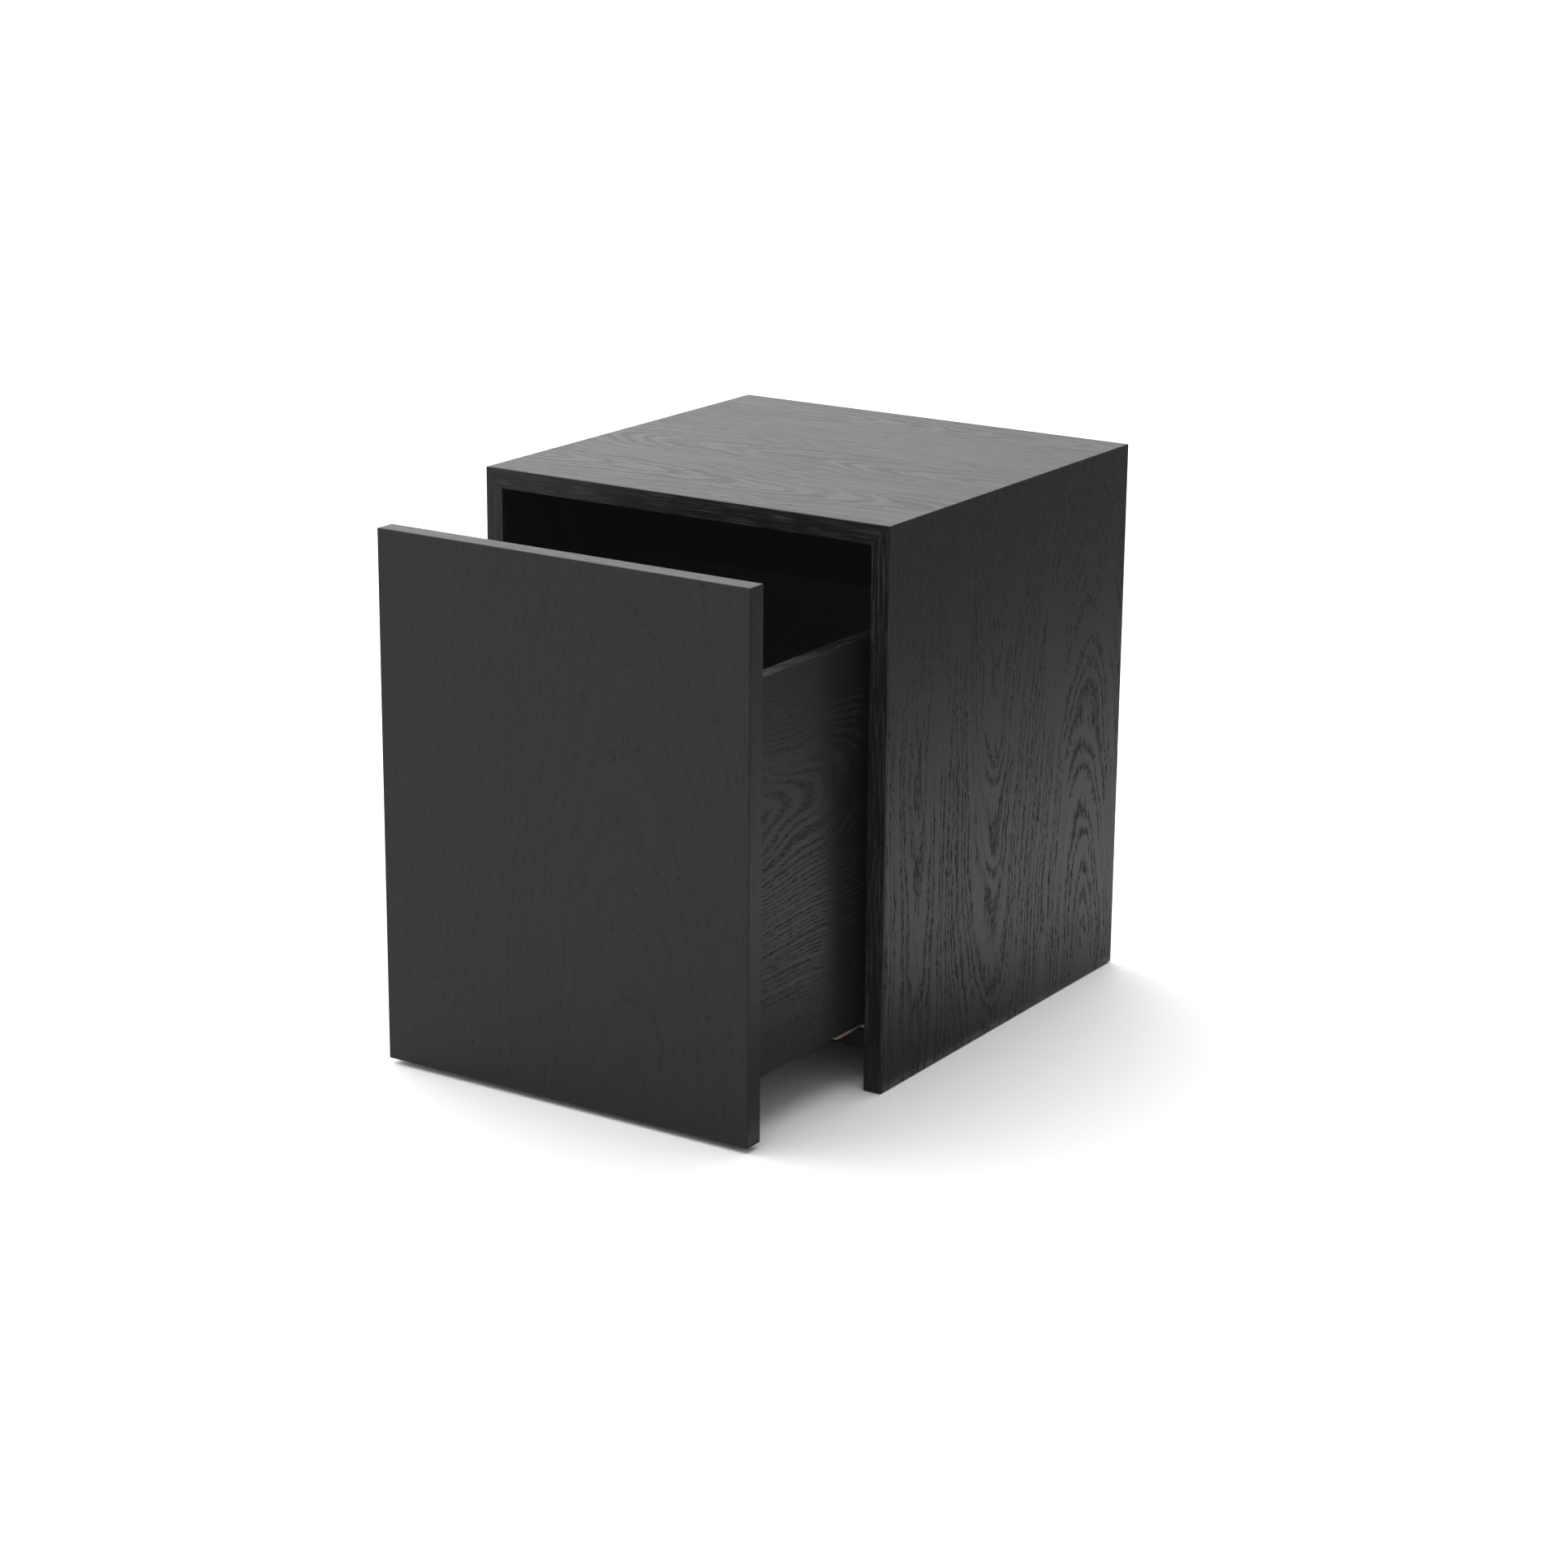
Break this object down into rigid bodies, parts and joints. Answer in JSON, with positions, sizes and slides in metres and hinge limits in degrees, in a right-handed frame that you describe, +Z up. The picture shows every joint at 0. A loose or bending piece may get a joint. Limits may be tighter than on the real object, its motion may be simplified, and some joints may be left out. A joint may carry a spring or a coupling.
{
  "type": "bedside cabinet",
  "caption": "Low square cabinet of black-stained oak with mitred top corners and a deep inset push-open drawer on concealed full-extension runners, shown partly open.",
  "frame": {"origin": "on the floor under the middle of the box that holds the cabinet with its drawer open by 170 mm, as stored", "axes": "+Z up, -Y out of the front towards the person who opens the drawer, +X to the right of that person"},
  "size_m": [0.4, 0.57, 0.48],
  "materials": {
    "stained_oak": "satin black stain on open-pore oak veneer",
    "drawer_oak": "matte black stain on open-pore oak veneer",
    "beech": "raw beech and plywood joinery",
    "zinc_steel": "bright zinc plating",
    "dark_plastic": "dark grey moulded plastic",
    "copper_plastic": "copper-brown moulded plastic",
    "pale_plastic": "pale grey moulded plastic"
  },
  "bodies": {
    "cabinet": {"back_panel": "stained_oak", "bottom_panel": "stained_oak", "left_front_dowel": "beech", "left_front_glide": "dark_plastic", "left_front_lipping": "stained_oak", "left_front_runner_screw": "zinc_steel", "left_lower_back_screw": "zinc_steel", "left_mitre_spline": "beech", "left_push_opener_body": "dark_plastic", "left_rear_dowel": "beech", "left_rear_glide": "dark_plastic", "left_rear_runner_screw": "zinc_steel", "left_runner_cabinet_profile": "zinc_steel", "left_side_panel": "stained_oak", "left_upper_back_screw": "zinc_steel", "right_front_dowel": "beech", "right_front_glide": "dark_plastic", "right_front_lipping": "stained_oak", "right_front_runner_screw": "zinc_steel", "right_lower_back_screw": "zinc_steel", "right_mitre_spline": "beech", "right_push_opener_body": "dark_plastic", "right_rear_dowel": "beech", "right_rear_glide": "dark_plastic", "right_rear_runner_screw": "zinc_steel", "right_runner_cabinet_profile": "zinc_steel", "right_side_panel": "stained_oak", "right_upper_back_screw": "zinc_steel", "top_front_lipping": "stained_oak", "top_panel": "stained_oak"},
    "drawer": {"drawer_back": "drawer_oak", "drawer_bottom": "drawer_oak", "drawer_front_bottom_lipping": "stained_oak", "drawer_front_left_lipping": "stained_oak", "drawer_front_panel": "stained_oak", "drawer_front_right_lipping": "stained_oak", "drawer_front_top_lipping": "stained_oak", "drawer_inner_front": "drawer_oak", "drawer_left_side": "drawer_oak", "drawer_right_side": "drawer_oak", "left_lock_body": "dark_plastic", "left_lower_front_screw": "zinc_steel", "left_runner_drawer_profile": "zinc_steel", "left_upper_front_screw": "zinc_steel", "right_lock_body": "dark_plastic", "right_lower_front_screw": "zinc_steel", "right_runner_drawer_profile": "zinc_steel", "right_upper_front_screw": "zinc_steel"},
    "left_runner_middle": {"left_runner_middle_profile": "zinc_steel", "left_runner_bumper": "copper_plastic"},
    "left_lower_cage": {"left_runner_lower_cage": "pale_plastic"},
    "left_upper_cage": {"left_runner_upper_cage": "pale_plastic"},
    "left_opener_plunger": {"left_push_opener_plunger": "pale_plastic"},
    "left_lock_lever": {"left_lock_lever": "copper_plastic"},
    "right_runner_middle": {"right_runner_middle_profile": "zinc_steel", "right_runner_bumper": "copper_plastic"},
    "right_lower_cage": {"right_runner_lower_cage": "pale_plastic"},
    "right_upper_cage": {"right_runner_upper_cage": "pale_plastic"},
    "right_opener_plunger": {"right_push_opener_plunger": "pale_plastic"},
    "right_lock_lever": {"right_lock_lever": "copper_plastic"}
  },
  "joints": [
    {"name": "drawer_slide", "type": "slide", "parent": "cabinet", "child": "drawer", "axis": [0, -1, 0], "range_m": [-0.17, 0.13]},
    {"name": "left_runner_middle_slide", "type": "slide", "parent": "cabinet", "child": "left_runner_middle", "axis": [0, -1, 0], "range_m": [-0.085, 0.065]},
    {"name": "left_lower_cage_slide", "type": "slide", "parent": "cabinet", "child": "left_lower_cage", "axis": [0, -1, 0], "range_m": [-0.0425, 0.0325]},
    {"name": "left_upper_cage_slide", "type": "slide", "parent": "cabinet", "child": "left_upper_cage", "axis": [0, -1, 0], "range_m": [-0.1275, 0.0975]},
    {"name": "left_opener_push", "type": "slide", "parent": "cabinet", "child": "left_opener_plunger", "axis": [0, 1, 0], "range_m": [0, 0.008], "stiffness_N_per_m": 300, "springref_m": -0.002},
    {"name": "left_lever_squeeze", "type": "hinge", "parent": "drawer", "child": "left_lock_lever", "pos_m": [-0.11, -0.257, 0.0565], "axis": [0, 0, 1], "range_deg": [0, 8], "stiffness_Nm_per_rad": 0.05, "springref_deg": -2.86},
    {"name": "right_runner_middle_slide", "type": "slide", "parent": "cabinet", "child": "right_runner_middle", "axis": [0, -1, 0], "range_m": [-0.085, 0.065]},
    {"name": "right_lower_cage_slide", "type": "slide", "parent": "cabinet", "child": "right_lower_cage", "axis": [0, -1, 0], "range_m": [-0.0425, 0.0325]},
    {"name": "right_upper_cage_slide", "type": "slide", "parent": "cabinet", "child": "right_upper_cage", "axis": [0, -1, 0], "range_m": [-0.1275, 0.0975]},
    {"name": "right_opener_push", "type": "slide", "parent": "cabinet", "child": "right_opener_plunger", "axis": [0, 1, 0], "range_m": [0, 0.008], "stiffness_N_per_m": 300, "springref_m": -0.002},
    {"name": "right_lever_squeeze", "type": "hinge", "parent": "drawer", "child": "right_lock_lever", "pos_m": [0.11, -0.257, 0.0565], "axis": [0, 0, -1], "range_deg": [0, 8], "stiffness_Nm_per_rad": 0.05, "springref_deg": -2.86}
  ],
  "couplings": [
    {"joint": "left_runner_middle_slide", "follows": "drawer_slide", "ratio": 0.5},
    {"joint": "left_lower_cage_slide", "follows": "drawer_slide", "ratio": 0.25},
    {"joint": "left_upper_cage_slide", "follows": "drawer_slide", "ratio": 0.75},
    {"joint": "right_runner_middle_slide", "follows": "drawer_slide", "ratio": 0.5},
    {"joint": "right_lower_cage_slide", "follows": "drawer_slide", "ratio": 0.25},
    {"joint": "right_upper_cage_slide", "follows": "drawer_slide", "ratio": 0.75}
  ]
}
